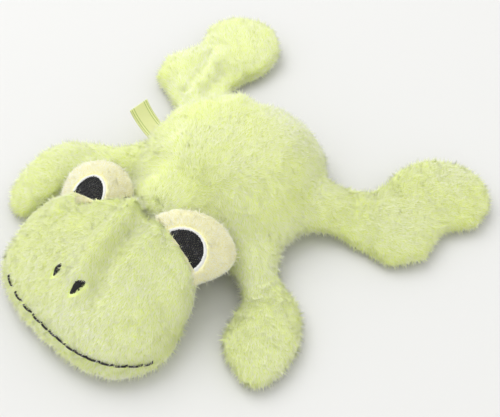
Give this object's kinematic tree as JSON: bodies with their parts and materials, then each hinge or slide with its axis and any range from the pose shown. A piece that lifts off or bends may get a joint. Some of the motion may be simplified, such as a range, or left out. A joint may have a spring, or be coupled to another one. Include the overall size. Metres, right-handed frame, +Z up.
{
  "type": "plush frog",
  "caption": "Limp stuffed toy frog that lies flat on its belly, with a domed body, a wide flat head, padded eye lobes, thin flapping arms and legs, and a ribbon tab in its side seam.",
  "frame": {"origin": "on the floor, under the middle of the whole frog's bounding box", "axes": "+Z up from the floor, +Y towards the frog's rear and -Y towards its mouth, +X towards its right side"},
  "size_m": [0.2534, 0.2772, 0.0481],
  "materials": {
    "lime_plush": "short dense plush nap, matte",
    "cream_plush": "short dense plush nap, matte",
    "fibre_filling": "loose polyester fibre, matte",
    "black_thread": "satin-stitched embroidery thread",
    "white_thread": "satin-stitched embroidery thread",
    "lime_ribbon": "woven satin ribbon"
  },
  "bodies": {
    "body": {"body_back_panel": "lime_plush", "body_belly_panel": "lime_plush", "body_filling": "fibre_filling"},
    "head": {"head_face_panel": "lime_plush", "head_chin_panel": "lime_plush", "head_filling": "fibre_filling", "eye_left_front_panel": "cream_plush", "eye_left_back_panel": "cream_plush", "eye_left_filling": "fibre_filling", "eye_left_pupil": "black_thread", "eye_left_white_rim": "white_thread", "eye_right_front_panel": "cream_plush", "eye_right_back_panel": "cream_plush", "eye_right_filling": "fibre_filling", "eye_right_pupil": "black_thread", "eye_right_white_rim": "white_thread", "nostril_left": "black_thread", "nostril_right": "black_thread", "mouth_thread": "black_thread"},
    "arm_left": {"arm_left_upper_panel": "lime_plush", "arm_left_under_panel": "lime_plush", "arm_left_filling": "fibre_filling"},
    "arm_right": {"arm_right_upper_panel": "lime_plush", "arm_right_under_panel": "lime_plush", "arm_right_filling": "fibre_filling"},
    "leg_left": {"leg_left_upper_panel": "lime_plush", "leg_left_under_panel": "lime_plush", "leg_left_filling": "fibre_filling"},
    "leg_right": {"leg_right_upper_panel": "lime_plush", "leg_right_under_panel": "lime_plush", "leg_right_filling": "fibre_filling"},
    "label": {"label_tab": "lime_ribbon"}
  },
  "joints": [
    {"name": "neck_seam", "type": "hinge", "parent": "body", "child": "head", "pos_m": [-0.0023, -0.04486, 0.012], "axis": [-1, 0, 0], "range_deg": [-35, 8]},
    {"name": "arm_left_seam", "type": "hinge", "parent": "body", "child": "arm_left", "pos_m": [-0.05384, -0.01516, 0.012], "axis": [-0.5, 0.866, 0], "range_deg": [-50, 35]},
    {"name": "arm_right_seam", "type": "hinge", "parent": "body", "child": "arm_right", "pos_m": [0.04924, -0.01516, 0.012], "axis": [-0.5, -0.866, 0], "range_deg": [-50, 35]},
    {"name": "leg_left_seam", "type": "hinge", "parent": "body", "child": "leg_left", "pos_m": [-0.0533, 0.03893, 0.012], "axis": [0.4305, 0.9026, 0], "range_deg": [-60, 60]},
    {"name": "leg_right_seam", "type": "hinge", "parent": "body", "child": "leg_right", "pos_m": [0.0487, 0.03893, 0.012], "axis": [0.4305, -0.9026, 0], "range_deg": [-60, 60]},
    {"name": "label_seam", "type": "hinge", "parent": "body", "child": "label", "pos_m": [-0.06394, 0.0091, 0.012], "axis": [0, 1, 0], "range_deg": [-30, 30], "stiffness_Nm_per_rad": 0.0005}
  ]
}
